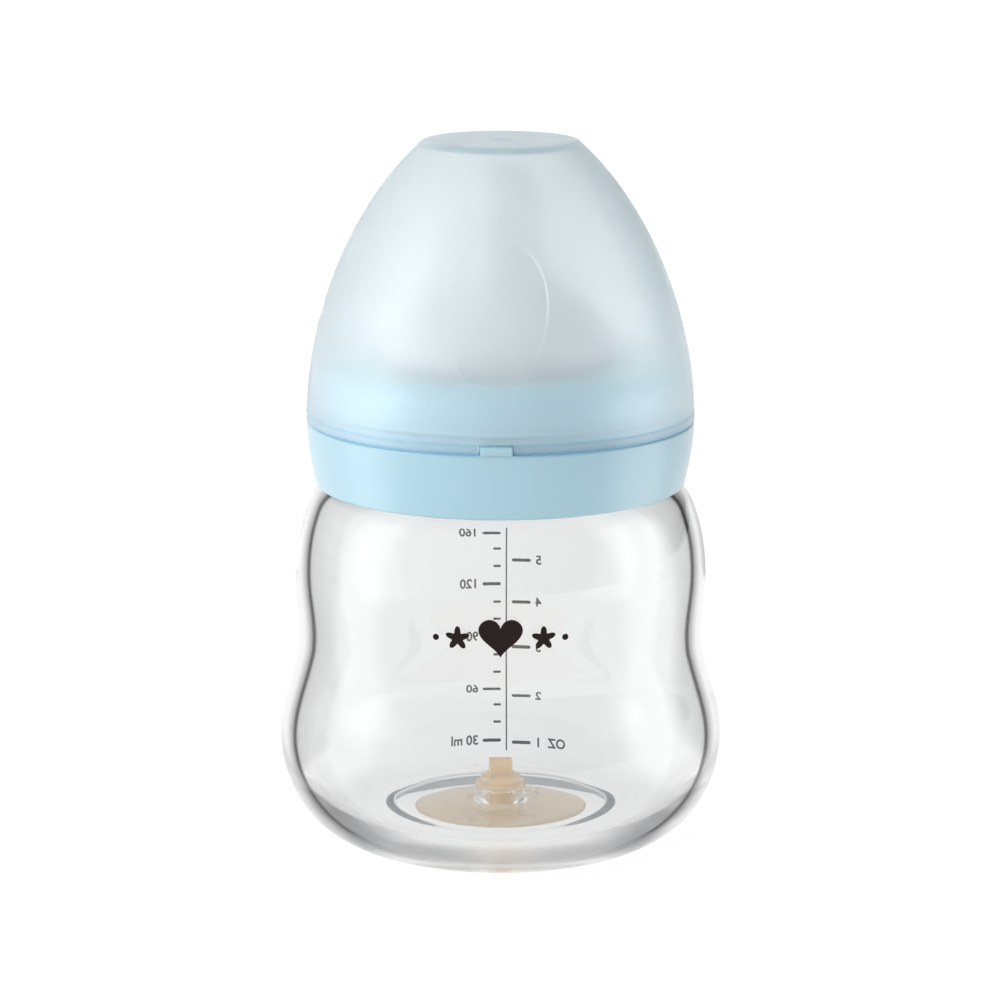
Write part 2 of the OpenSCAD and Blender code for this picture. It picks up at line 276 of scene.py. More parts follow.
class Nodes:
    """Short forms for building one material's node tree."""

    def __init__(self, name):
        self.material = bpy.data.materials.new(name)
        self.material.use_nodes = True
        self.tree = self.material.node_tree
        self.shader = self.tree.nodes["Principled BSDF"]
        self.output = self.tree.nodes["Material Output"]
        coordinates = self.tree.nodes.new("ShaderNodeTexCoord")
        self.place = coordinates.outputs["Object"]

    def add(self, kind, **values):
        node = self.tree.nodes.new(kind)
        for key, value in values.items():
            if hasattr(node, key) and key not in node.inputs:
                setattr(node, key, value)
            else:
                node.inputs[key.replace("_", " ")].default_value = value
        return node

    def link(self, source, target):
        self.tree.links.new(source, target)

    def set(self, **values):
        for key, value in values.items():
            self.shader.inputs[key.replace("_", " ")].default_value = value

    def noise(self, scale, detail=2.0, roughness=0.5):
        node = self.add("ShaderNodeTexNoise", Scale=scale, Detail=detail, Roughness=roughness)
        self.link(self.place, node.inputs["Vector"])
        return node.outputs["Fac"]

    def mapped(self, source, low, high, from_low=0.3, from_high=0.7):
        node = self.add("ShaderNodeMapRange", From_Min=from_low, From_Max=from_high, To_Min=low, To_Max=high)
        self.link(source, node.inputs["Value"])
        return node.outputs["Result"]

    def height(self):
        """Height over the base, in metres."""
        node = self.add("ShaderNodeSeparateXYZ")
        self.link(self.place, node.inputs[0])
        return node.outputs["Z"]

    def mixed(self, factor, colours, **values):
        """Two colours mixed; the factor and the colours may each be a value or another node's output."""
        node = self.add("ShaderNodeMix", data_type="RGBA", **values)
        for place, value in zip((0, 6, 7), (factor, *colours)):
            if isinstance(value, bpy.types.NodeSocket):
                self.link(value, node.inputs[place])
            else:
                node.inputs[place].default_value = (*value, 1) if place else value
        return node.outputs[2]

    def blended(self, factor, start, end):
        """Colour between two by a factor."""
        return self.mixed(factor, (start, end))

    def multiplied(self, first, second):
        """One colour times another."""
        return self.mixed(1, (first, second), blend_type="MULTIPLY")

    def ramp(self, source, stops):
        """Colours by a factor; stops are (place, (r, g, b))."""
        node = self.add("ShaderNodeValToRGB")
        for place, _ in stops[1:-1]:
            node.color_ramp.elements.new(place)
        for stop, (place, colour) in zip(node.color_ramp.elements, stops):
            stop.position = place
            stop.color = (*colour, 1)
        self.link(source, node.inputs[0])
        return node.outputs[0]

    def bump(self, source, strength, distance):
        node = self.add("ShaderNodeBump", Strength=strength, Distance=distance)
        self.link(source, node.inputs["Height"])
        return node.outputs["Normal"]

    def finish(self, colour, rough_scale, roughness, grain_scale, grain=0.15, depth=0.0001, detail=1.0):
        """Base colour, a roughness that varies from place to place, and a faintly uneven surface."""
        self.link(colour, self.shader.inputs["Base Color"])
        self.link(self.mapped(self.noise(rough_scale), *roughness), self.shader.inputs["Roughness"])
        self.link(self.bump(self.noise(grain_scale, detail), grain, depth), self.shader.inputs["Normal"])

    def ripple(self):
        """Slow waves, as moulded glass has."""
        self.link(self.bump(self.noise(22, 1.0, 0.4), 0.3, 0.001), self.shader.inputs["Normal"])

    def let_light_in(self, share):
        """Lamps shine through to what is inside by this share of each surface."""
        clear = self.add("ShaderNodeBsdfTransparent", Color=(share, share, share, 1))
        path = self.add("ShaderNodeLightPath")
        mix = self.add("ShaderNodeMixShader")
        self.link(path.outputs["Is Shadow Ray"], mix.inputs[0])
        self.link(self.shader.outputs[0], mix.inputs[1])
        self.link(clear.outputs[0], mix.inputs[2])
        self.link(mix.outputs[0], self.output.inputs["Surface"])


# Heights in metres between which the dust cap's tone changes from its skirt to its dome
CAP_FADE_Z = (0.080, 0.100)
# The thick rim band of the dust cap, with painted shade: a blue line along its lower edge stands in for the
# shadowed gap over the collar's ledge, and a paler blue line near its top edge for the light bent at the band's
# top edge.
# The stops run from its lower edge (0) to 2 mm up (1)
RIM_LINES_Z = (0.0745, 0.0765)
RIM_PAINTED_SHADE_LINES = ((0.0, (0.42, 0.70, 0.93)), (0.12, (0.45, 0.72, 0.93)), (0.20, (0.97, 0.99, 1.0)),
             (0.76, (0.97, 0.99, 1.0)), (0.82, (0.66, 0.86, 0.97)), (0.87, (0.66, 0.86, 0.97)), (0.93, (1, 1, 1)))


def glass_material():
    n = Nodes("clear_glass")
    n.set(Base_Color=(*GLASS_TINT, 1), Roughness=0.0, IOR=GLASS_IOR, Transmission_Weight=1.0)
    n.ripple()
    n.let_light_in(GLASS_LETS_IN)
    return n.material


def painted_shade_glass_side_material():
    """The bottle's outer side, with painted shade: its colour darkens where it is seen nearly edge on, along the
    inside of the thick wall.

    Low down, at the heel, the painted shade is mostly lifted and the glass is softer."""
    n = Nodes("glass_side_painted_shade")
    n.set(IOR=GLASS_IOR, Transmission_Weight=1.0)
    # Painted shade: the glass tint times a dark dip where the side is seen nearly edge on, faded out at the heel
    facing = n.add("ShaderNodeLayerWeight", Blend=0.5).outputs["Facing"]
    stops = [(place, [clear * tint for tint in GLASS_TINT]) for place, clear in PAINTED_EDGE_SHADE]
    height = n.height()
    shade_lift_share = n.mapped(height, 0.9, 0.0, *HEEL_SHADE_LIFT_Z)
    n.link(n.blended(shade_lift_share, n.ramp(facing, stops), GLASS_TINT), n.shader.inputs["Base Color"])
    n.link(n.mapped(height, 0.2, 0.0, *HEEL_SOFT_Z), n.shader.inputs["Roughness"])
    n.ripple()
    n.let_light_in(GLASS_LETS_IN)
    return n.material


def frosted_material():
    n = Nodes("frosted_plastic")
    n.set(IOR=1.45, Transmission_Weight=0.9)
    height = n.height()
    tone = n.blended(n.mapped(height, 0, 1, *CAP_FADE_Z), (1.0, 1.0, 1.0), (0.91, 0.915, 0.915))
    # Painted shade lines along both edges of the rim band, multiplied into the cap's tone
    rim = n.ramp(n.mapped(height, 0, 1, *RIM_LINES_Z), RIM_PAINTED_SHADE_LINES)
    n.finish(n.multiplied(tone, rim), 60, (0.29, 0.34), 120)
    tint = n.add("ShaderNodeVolumeAbsorption", Color=(0.66, 0.91, 0.99, 1), Density=80)
    n.link(tint.outputs[0], n.output.inputs["Volume"])
    n.let_light_in(0.95)
    return n.material


def collar_material():
    n = Nodes("pale_blue_plastic")
    n.set(IOR=1.49, Specular_IOR_Level=0.8, Coat_Weight=0.5, Coat_Roughness=0.22)
    n.set(Subsurface_Weight=0.25, Subsurface_Scale=0.004, Subsurface_Radius=(0.6, 0.9, 1.0))
    tone = n.blended(n.mapped(n.noise(25, 3.0), 0, 1), (0.38, 0.61, 0.715), (0.40, 0.63, 0.735))
    n.finish(tone, 60, (0.30, 0.36), 120)
    return n.material


def nipple_material():
    n = Nodes("milky_silicone")
    n.set(IOR=SILICONE_IOR, Transmission_Weight=0.6, Subsurface_Weight=0.4, Subsurface_Scale=0.006)
    n.set(Subsurface_Radius=(0.9, 1.0, 1.0))
    tone = n.blended(n.mapped(n.noise(40, 3.0), 0, 1), (0.90, 0.93, 0.95), (0.94, 0.96, 0.97))
    n.finish(tone, 80, (0.30, 0.38), 150)
    n.let_light_in(0.6)
    return n.material


def valve_material():
    n = Nodes("peach_silicone")
    n.set(IOR=SILICONE_IOR, Transmission_Weight=0.65, Subsurface_Weight=0.3, Subsurface_Scale=0.003)
    n.set(Subsurface_Radius=(1.0, 0.8, 0.6))
    tone = n.blended(n.mapped(n.noise(60, 2.0), 0, 1), (1.0, 0.83, 0.63), (1.0, 0.87, 0.70))
    n.finish(tone, 300, (0.18, 0.26), 200)
    n.let_light_in(0.85)
    return n.material


def ink_material(name, colour, rough):
    n = Nodes(name)
    n.set(Specular_IOR_Level=0.15)
    darker = [c * 0.8 for c in colour]
    tone = n.blended(n.mapped(n.noise(300, 3.0), 0, 1), darker, colour)
    n.finish(tone, 900, (rough - 0.06, rough + 0.06), 2500, grain=0.1, depth=0.00002, detail=2.0)
    return n.material


# ---------------------------------------------------------------- glass body

def glass_side():
    """The glass's outer side from the bulge to the rim's rounding."""
    run = (SHOULDER_Z - UPPER_Z) / UPPER_RUN
    shoulder_r = UPPER_R - UPPER_DROP * (1 - math.sqrt(1 - run * run))
    steep = math.degrees(math.atan(UPPER_DROP * run / (UPPER_RUN * math.sqrt(1 - run * run))))
    turn = math.radians(steep)
    shoulder = arc(shoulder_r - SHOULDER_ROUND * math.cos(turn), SHOULDER_Z - SHOULDER_ROUND * math.sin(turn),
                   SHOULDER_ROUND, steep, SHOULDER_STEEPEST, 16)
    last = shoulder[-1]
    steepest = math.radians(SHOULDER_STEEPEST)
    fillet_r = NECK_R + NECK_FILLET
    start_r = fillet_r - NECK_FILLET * math.cos(steepest)
    start_z = last[1] + (last[0] - start_r) / math.tan(steepest)
    fillet_z = start_z + NECK_FILLET * math.sin(steepest)
    fillet = arc(fillet_r, fillet_z, NECK_FILLET, 180 + SHOULDER_STEEPEST, 180, 12)
    return (ease(BULGE_R, BULGE_Z, WAIST_R, WAIST_Z, 48)
            + ease(WAIST_R, WAIST_Z, UPPER_R, UPPER_Z, 28)[1:]
            + oval(UPPER_R - UPPER_DROP, UPPER_Z, UPPER_DROP, UPPER_RUN, 0, math.degrees(math.asin(run)), 36)[1:]
            + shoulder[1:] + line(last, fillet[0], 3)[1:] + fillet
            + line(fillet[-1], (NECK_R, RIM_Z - RIM_ROUND), 10)[1:])


def glass_section():
    """Outline of the glass, from its hole along the base, up outside, over the rim and down inside."""
    side = glass_side()
    inner_r = NECK_R - GLASS_WALL
    heel_mid = BULGE_R - GLASS_WALL - INNER_HEEL_W
    floor = line((heel_mid, FLOOR_Z), (SPIGOT_R + 0.8, FLOOR_Z), 30)[1:]
    spigot = (arc(SPIGOT_R + 0.8, FLOOR_Z + 0.8, 0.8, 270, 180, 8)
              + arc(SPIGOT_R - 0.6, SPIGOT_Z - 0.6, 0.6, 0, 90, 8)
              + arc(HOLE_R + 0.3, SPIGOT_Z - 0.3, 0.3, 90, 180, 5))
    foot = (arc(HOLE_R + 0.3, RECESS_Z + 0.3, 0.3, 180, 270, 4)
            + line((HOLE_R + 0.3, RECESS_Z), (RECESS_R - 0.5, RECESS_Z), 10)[1:]
            + bezier((RECESS_R - 0.5, RECESS_Z), (RECESS_R + 0.5, RECESS_Z),
                     (RING_IN_R - 0.8, 0), (RING_IN_R, 0), 14))
    return (foot + oval(BULGE_R - HEEL_W, BULGE_Z, HEEL_W, BULGE_Z, -90, 0, 48) + side[1:]
            + arc(NECK_R - RIM_ROUND, RIM_Z - RIM_ROUND, RIM_ROUND, 0, 90, 10)
            + arc(inner_r + RIM_ROUND, RIM_Z - RIM_ROUND, RIM_ROUND, 90, 180, 10)
            + inset(side, GLASS_WALL)[::-1][1:]
            + oval(heel_mid, BULGE_Z, INNER_HEEL_W, BULGE_Z - FLOOR_Z, 0, -90, 48)[1:]
            + floor + spigot)


def is_side(face_centre, normal):
    """Whether a face is on the glass's outer side."""
    out = math.hypot(face_centre.x, face_centre.y)
    faces_out = face_centre.x * normal.x + face_centre.y * normal.y > 0.1 * out
    return faces_out and out > (RING_IN_R + 2) * MM


def make_glass(material, painted_shade_side_material):
    verts, faces = lathe(glass_section(), even_angles(256), True)
    glass = make_piece("glass_bottle", "bottle", ["glass_body"], material, verts, faces)
    glass.data.materials.append(painted_shade_side_material)
    # The outer side takes the glass with painted edge shade
    for face in glass.data.polygons:
        face.material_index = 1 if is_side(face.center, face.normal) else 0
    screw_thread("neck_thread", "bottle", material, NECK_R, THREAD_R, NECK_THREAD_Z, NECK_TURNS)


# ---------------------------------------------------------------- vent valve

def make_valve(material):
    """Silicone valve: a lathed body and a flattened duckbill."""
    stem_r, hub_r, top_z, edge_z = HOLE_R - 0.2, 6.5, RECESS_Z - 0.1, VALVE_Z + 1.1
    flange_z, flange_r = SPIGOT_Z + 0.1, 4.5
    plug_z, plug_r = flange_z + 1.2, 3.5
    foot_z = plug_z + 1.2
    vent_r = 1.6
    section = ([(vent_r, VALVE_Z + 0.4)] + arc(vent_r + 0.3, VALVE_Z + 0.3, 0.3, 180, 270, 5)
               + line((vent_r + 0.3, VALVE_Z), (DISC_R - 0.5, VALVE_Z), 8)[1:]
               + arc(DISC_R - 0.5, VALVE_Z + 0.5, 0.5, -90, 0, 6)
               + arc(DISC_R - 0.5, edge_z - 0.5, 0.5, 0, 90, 6)
               + line((DISC_R - 0.5, edge_z), (hub_r, top_z), 12)[1:]
               + line((hub_r, top_z), (stem_r + 0.4, top_z), 6)
               + arc(stem_r + 0.4, top_z + 0.4, 0.4, 270, 180, 5)
               + line((stem_r, top_z + 0.4), (stem_r, flange_z - 0.1), 5)[1:]
               + [(stem_r + 0.1, flange_z)]
               + arc(flange_r - 0.35, flange_z + 0.35, 0.35, -90, 0, 5)
               + arc(flange_r - 0.75, plug_z - 0.75, 0.75, 0, 90, 8)
               + arc(plug_r + 0.12, plug_z + 0.12, 0.12, 270, 180, 4)
               + arc(plug_r - 0.45, foot_z - 0.45, 0.45, 0, 90, 7)
               + [(0.6, foot_z), (0.0, foot_z)])
    inner_top = [(0.0, foot_z - 0.8), (vent_r - 0.4, foot_z - 0.8), (vent_r, foot_z - 1.2)]
    verts, faces = lathe(inner_top + section, even_angles(96), False)
    make_piece("valve_body", "bottle", ["vent_valve"], material, verts, faces)
    make_duckbill(material, foot_z)


def make_duckbill(material, foot_z):
    """Wedge of two soft lips with a fine slit along the top, flared into the valve's head."""
    half_w, foot_t, lip_t, slit = 2.1, 1.4, 0.5, 0.06
    rows, around, slit_depth, squareness = 24, 48, 0.8, 0.35
    base_z = foot_z - 0.4
    verts = []
    for i in range(rows + 1):
        t = i / rows
        z = base_z + (BILL_Z - base_z) * t
        flare = 0.35 * max(0.0, 1 - t * 6) ** 2
        near_top = max(0.0, (t - 0.9) / 0.1)
        thick = foot_t + (lip_t - foot_t) * min(1.0, t * 1.05)
        for k in range(around):
            a = 2 * math.pi * k / around
            c, s = math.cos(a), math.sin(a)
            x = (half_w + flare) * math.copysign(abs(c) ** squareness, c) * (1 - 0.02 * near_top)
            y = (thick + flare) * math.copysign(abs(s) ** squareness, s) * (1 - 0.12 * near_top ** 2)
            verts.append((x, y, z))
    faces = grid_faces(rows + 1, around)
    top = rows * around
    lower = len(verts)
    for k in range(around):
        x, y, z = verts[top + k]
        verts.append((x * 0.76, math.copysign(slit, y) if abs(y) > 1e-6 else 0.0, z))
    for k in range(around):
        x, y, z = verts[lower + k]
        verts.append((x, y, z - slit_depth))
    for k in range(around):
        k2 = (k + 1) % around
        faces.append((top + k, top + k2, lower + k2, lower + k))
        faces.append((lower + k, lower + k2, lower + around + k2, lower + around + k))
    faces.append(tuple(lower + around + k for k in range(around)))
    faces.append(tuple(range(around - 1, -1, -1)))
    make_piece("valve_duckbill", "bottle", (), material, verts, faces)


# ---------------------------------------------------------------- nipple

def make_nipple(material):
    low_z, top_z = RIM_Z + 0.1, SEAT_Z - 0.1
    groove_r, hold_r, lip_r, hole_r = OPENING_R - 0.4, OPENING_R + 0.5, 24.2, 0.4
    plate_z = BOSS_Z - 0.5
    breast_low, breast_top = (hold_r, BOSS_Z + 0.5), (TEAT_R, TIP_Z - 15)
    tip_low = (TEAT_R, TIP_Z - TEAT_R * 0.95)
    side = (bezier(breast_low, (hold_r, breast_low[1] + 8), (TEAT_R + 1.2, breast_top[1] - 8.5), breast_top, 60)
            + bezier(breast_top, (TEAT_R - 0.4, breast_top[1] + 3), (TEAT_R, tip_low[1] - 3), tip_low, 18)[1:]
            + oval(0, tip_low[1], TEAT_R, TIP_Z - tip_low[1], 0, math.degrees(math.acos(hole_r / TEAT_R)), 28)[1:])
    inner = [(max(hole_r, r), z) for r, z in inset(side, NIPPLE_WALL)[::-1]]
    section = ([(lip_r - 1.3, LIP_Z), (lip_r - 0.3, LIP_Z), (lip_r, LIP_Z + 0.3)]
               + line((lip_r, LIP_Z + 0.3), (lip_r, low_z), 4)[1:]
               + line((lip_r, low_z), (FLANGE_R - 0.3, low_z), 4)
               + arc(FLANGE_R - 0.3, low_z + 0.3, 0.3, -90, 0, 4)
               + arc(FLANGE_R - 0.3, top_z - 0.3, 0.3, 0, 90, 4)
               + line((FLANGE_R - 0.3, top_z), (groove_r, top_z), 8)[1:]
               + line((groove_r, top_z), (groove_r, plate_z), 3)
               + [(groove_r, plate_z)]
               + arc(hold_r - 0.4, plate_z + 0.4, 0.4, -90, 0, 5)
               + side + inner
               + [(groove_r - NIPPLE_WALL, low_z + 0.2), (lip_r - 1.6, low_z)])
    verts, faces = lathe(section, even_angles(192), True)
    make_piece("soft_nipple", "nipple", ["nipple"], material, verts, faces)


# ---------------------------------------------------------------- collar

def make_collar(material):
    ledge_run = LEDGE_Z - COLLAR_Z
    heights = [COLLAR_Z + 0.6 + (ledge_run - 0.9) * i / 24 for i in range(25)]
    side = [(COLLAR_LOW_R + (LEDGE_R - COLLAR_LOW_R) * math.sin(math.pi / 2 * (z - COLLAR_Z) / ledge_run), z)
            for z in heights]
    section = (line((BORE_R, COLLAR_Z + 1.2), (side[0][0] - 0.9, COLLAR_Z), 4)
               + arc(side[0][0] - 0.6, COLLAR_Z + 0.6, 0.6, -90, 0, 8) + side[1:]
               + arc(LEDGE_R - 0.4, LEDGE_Z - 0.4, 0.4, 8, 90, 6)
               + line((LEDGE_R - 0.4, LEDGE_Z), (BOSS_R + 0.2, LEDGE_Z), 6)[1:]
               + arc(BOSS_R + 0.2, LEDGE_Z + 0.2, 0.2, 270, 180, 4)
               + ease(BOSS_R, BEAD_Z - 0.9, BOSS_R + BEAD_OUT, BEAD_Z, 8)
               + ease(BOSS_R + BEAD_OUT, BEAD_Z, BOSS_R, BEAD_Z + 0.9, 8)[1:]
               + line((BOSS_R, BEAD_Z + 0.9), (BOSS_R, BOSS_Z - BOSS_ROUND), 3)[1:]
               + arc(BOSS_R - BOSS_ROUND, BOSS_Z - BOSS_ROUND, BOSS_ROUND, 0, 90, 20)
               + bezier((BOSS_R - BOSS_ROUND, BOSS_Z), (26, BOSS_Z), (23, BOSS_Z - 0.6),
                        (OPENING_R + 1.4, BOSS_Z - 0.75), 10)[1:]
               + arc(OPENING_R + 0.5, BOSS_Z - 1.3, 0.5, 90, 180, 6)
               + line((OPENING_R, SEAT_Z), (BORE_R - 0.6, SEAT_Z), 6)
               + arc(BORE_R - 0.6, SEAT_Z - 0.6, 0.6, 90, 0, 5)
               + line((BORE_R, SEAT_Z - 0.6), (BORE_R, COLLAR_Z + 1.2), 20)[1:])
    verts, faces = lathe(section, even_angles(256), True)
    make_piece("screw_collar", "collar", ["collar"], material, verts, faces)
    screw_thread("collar_thread", "collar", material,
                 BORE_R, NECK_R + 0.45, COLLAR_THREAD_Z, COLLAR_TURNS)
    make_lug(material)


def make_lug(material):
    """Key lug on the ledge that fits the cap's notch, with rounded edges."""
    half = (NOTCH_W / 2 - LUG_CLEAR) / LEDGE_R
    outer, inner = LEDGE_R - 0.2, BOSS_R - 0.4
    top = LEDGE_Z + LUG_H
    section = ([(inner, LEDGE_Z - 0.3), (outer, LEDGE_Z - 0.3)]
               + arc(outer - 0.25, top - 0.25, 0.25, 0, 90, 5) + [(inner, top)])
    verts, steps = [], 24
    for i in range(steps + 1):
        t = i / steps * 2 - 1
        a = FRONT_TURN + half * t
        pull = 0.2 * max(0.0, (abs(t) - 0.92) / 0.08) ** 2
        for r, z in section:
            r = r - (pull if r > inner + 0.5 else 0)
            z = z - (pull if z > LEDGE_Z + 0.5 else 0)
            verts.append(turned(a, r, z))
    faces = grid_faces(steps + 1, len(section)) + end_faces(steps + 1, len(section))
    make_piece("collar_lug", "collar", (), material, verts, faces)


# ---------------------------------------------------------------- dust cap

def cap_curve_r(z):
    """Radius of the cap's outer curve at a height."""
    return CAP_R * (1 - (max(0.0, z - CURVE_Z) / CURVE_H) ** CURVE_RISE) ** (1 / CURVE_ROUND)


def cap_side(distance):
    """The cap's side from above the rim band to the flat top, moved inwards."""
    low_z, top_z = CAP_LOW_Z + BAND_H, CAP_Z - CREASE_H
    heights = [low_z + (top_z - low_z) * (0.75 * t + 0.25 * math.sin(math.pi / 2 * t))
               for t in [i / CURVE_STEPS for i in range(CURVE_STEPS + 1)]]
    curve = inset([(cap_curve_r(z), z) for z in heights], distance)
    last, flat_z = curve[-1], CAP_Z - distance
    return curve + bezier(last, (last[0] - 0.5 * CREASE_H, last[1] + 0.6 * CREASE_H),
                          (last[0] - CREASE_H, flat_z), (last[0] - 2 * CREASE_H, flat_z), 10)[1:]


def cap_section():
    """From the middle of the inner top, down inside, round the rim, up outside to the middle of the top."""
    inner, outer = cap_side(CAP_WALL), cap_side(0)
    inner_top, outer_top = inner[-1], outer[-1]
    low_r = inner[0][0]
    bead_r = BOSS_R + BEAD_OUT + 0.1
    band_top = CAP_LOW_Z + BAND_H
    inside = (line((0.0, inner_top[1]), inner_top, 10) + inner[::-1]
              + ease(low_r, CAP_LOW_Z + 1.3, bead_r, CAP_LOW_Z + 0.8, 5)
              + ease(bead_r, CAP_LOW_Z + 0.8, low_r, CAP_LOW_Z + 0.3, 5)[1:])
    rim = ([(low_r, CAP_LOW_Z + 0.15), (low_r + 0.15, CAP_LOW_Z)]
           + line((low_r + 0.15, CAP_LOW_Z), (CAP_R + BAND_OUT - 0.25, CAP_LOW_Z), 4)[1:]
           + arc(CAP_R + BAND_OUT - 0.25, CAP_LOW_Z + 0.25, 0.25, -90, 0, 4)
           + line((CAP_R + BAND_OUT, CAP_LOW_Z + 0.25), (CAP_R + BAND_OUT, band_top - 0.2), 4)[1:]
           + ease(CAP_R + BAND_OUT, band_top - 0.2, CAP_R, band_top - 0.02, 4))
    mark = (line(outer_top, (MARK_R + 0.15, CAP_Z), 12)
            + arc(MARK_R + 0.15, CAP_Z - 0.15, 0.15, 90, 180, 4)
            + arc(MARK_R - 0.15, CAP_Z - MARK_DEPTH + 0.15, 0.15, 0, -90, 4)
            + [(0.8, CAP_Z - MARK_DEPTH), (0.0, CAP_Z - MARK_DEPTH)])
    first_outer = len(inside) + len(rim)
    return inside + rim + outer + mark[1:], first_outer, first_outer + len(outer)


def smooth_step(t):
    t = min(1.0, max(0.0, t))
    return t * t * (3 - 2 * t)


def dish_sink(across, z):
    """Depth of the thumb dish at a place on the front: a fine step at its egg outline and a shallow bowl."""
    s = (z - DISH_Z) / (DISH_LEN / 2)
    if abs(s) >= 1.1:
        return 0.0
    width = DISH_HALF_W * (1 + 0.22 * s - 0.06 * s * s)
    d = math.hypot(across / width, s)
    return DISH_STEP * smooth_step((1.0 - d) / 0.035) + (DISH_DEPTH - DISH_STEP) * max(0.0, 1 - d * d)


def cap_angles():
    """Columns round the cap: fine across the dish and the notch, coarser elsewhere."""
    fine, fine_count, coarse_count = math.radians(18), 180, 200
    front = [FRONT_TURN - fine + 2 * fine * i / fine_count for i in range(fine_count)]
    start = FRONT_TURN + fine
    rest = [start + (2 * math.pi - 2 * fine) * i / coarse_count for i in range(coarse_count)]
    return front + rest


def make_cap(material):
    section, first_outer, last_outer = cap_section()
    lift_top = CAP_LOW_Z + BAND_H + 0.4
    half_notch = NOTCH_W / 2

    def shape(a, k, r, z):
        """Sinks the thumb dish and lifts the rim at the notch."""
        turn = (a - FRONT_TURN + math.pi) % (2 * math.pi) - math.pi
        across = abs(turn * CAP_R)
        if first_outer <= k < last_outer and abs(turn) < 0.5:
            r -= dish_sink(turn * r, z)
        if z < lift_top and across < half_notch + 0.2:
            lift = smooth_step((half_notch + 0.1 - across) / 0.25)
            z = lift_top - (lift_top - z) * (1 - NOTCH_LIFT * lift)
        return r, z

    verts, faces = lathe(section, cap_angles(), False, shape)
    make_piece("frosted_cap", "cap", ["dust_cap"], material, verts, faces, 50)


# ---------------------------------------------------------------- printing on the glass

def glass_radius(z, side):
    """Outer radius of the glass at a height."""
    for (r0, z0), (r1, z1) in zip(side, side[1:]):
        if z0 <= z <= z1 and z1 > z0:
            return r0 + (r1 - r0) * (z - z0) / (z1 - z0)
    return BULGE_R - HEEL_W + HEEL_W * math.sqrt(max(0.0, 1 - ((BULGE_Z - z) / BULGE_Z) ** 2))


def wrap(x, z, side, back, lift):
    """A flat place (x to the right as it is read, z up) on the front or back of the glass."""
    r = glass_radius(z, side) + lift
    return turned(x / r + (math.pi if back else 0), r, z)


INK_LIFT, INK_THICK, INK_FACET = 0.01, 0.03, 0.8
# Over this height the scale is drawn taller, to make up for the shoulder's lean
SHOULDER_START, SHOULDER_STRETCH = 47.5, 1.9


def wrapped_sheet(shape_mesh, side, back):
    """Turns a flat meshed shape (x, z in millimetres) into a thin layer of ink on the glass."""
    bm = bmesh.new()
    bm.from_mesh(shape_mesh)
    bmesh.ops.triangulate(bm, faces=bm.faces)
    for _ in range(5):
        long_edges = [e for e in bm.edges if e.calc_length() > INK_FACET]
        if not long_edges:
            break
        bmesh.ops.subdivide_edges(bm, edges=long_edges, cuts=1)
        bmesh.ops.triangulate(bm, faces=bm.faces)
    bm.verts.index_update()
    flat = [(v.co.x, v.co.y) for v in bm.verts]
    tris = [tuple(v.index for v in f.verts) for f in bm.faces]
    border = [(e.verts[0].index, e.verts[1].index) for e in bm.edges if e.is_boundary]
    bm.free()
    count = len(flat)
    verts = [wrap(x, z, side, back, INK_LIFT + INK_THICK) for x, z in flat]
    verts += [wrap(x, z, side, back, INK_LIFT) for x, z in flat]
    faces = tris + [tuple(i + count for i in reversed(t)) for t in tris]
    faces += [(a, b, b + count, a + count) for a, b in border]
    return verts, faces


def flat_polygon_mesh(outlines):
    """A flat mesh holding each outline as one filled face."""
    mesh = bpy.data.meshes.new("flat")
    verts, faces = [], []
    for outline in outlines:
        faces.append(tuple(range(len(verts), len(verts) + len(outline))))
        verts += [(x, z, 0) for x, z in outline]
    mesh.from_pydata(verts, [], faces)
    return mesh


def bar(x0, x1, z, thick):
    """A stroke with round ends."""
    r = thick / 2
    ends = [(x1 - r, -90), (x0 + r, 90)]
    points = []
    for x, start in ends:
        for i in range(9):
            a = math.radians(start + 180 * i / 8)
            points.append((x + r * math.cos(a), z + r * math.sin(a)))
    return points


def text_mesh(words, x, z, height, align, stretch=1.0):
    """Flat mesh of some words, in millimetres."""
    curve = bpy.data.curves.new("words", "FONT")
    curve.body = words
    curve.size = height / 0.72
    curve.align_x = align
    curve.align_y = "CENTER"
    curve.resolution_u = 6
    curve.offset = 0.06
    holder = bpy.data.objects.new("words", curve)
    bpy.context.scene.collection.objects.link(holder)
    bpy.context.view_layer.update()
    mesh = bpy.data.meshes.new_from_object(holder.evaluated_get(bpy.context.evaluated_depsgraph_get()))
    bpy.data.objects.remove(holder)
    for v in mesh.vertices:
        v.co.x += x
        v.co.y = z + v.co.y * stretch
    return mesh


def ink_piece(name, material, meshes, back):
    """One piece of ink on the front or back of the glass, from flat meshes."""
    side = glass_side()
    verts, faces = [], []
    for mesh in meshes:
        more, tris = wrapped_sheet(mesh, side, back)
        faces += [tuple(v + len(verts) for v in f) for f in tris]
        verts += more
        bpy.data.meshes.remove(mesh)
    return make_piece(name, "bottle", (), material, verts, faces, 60)


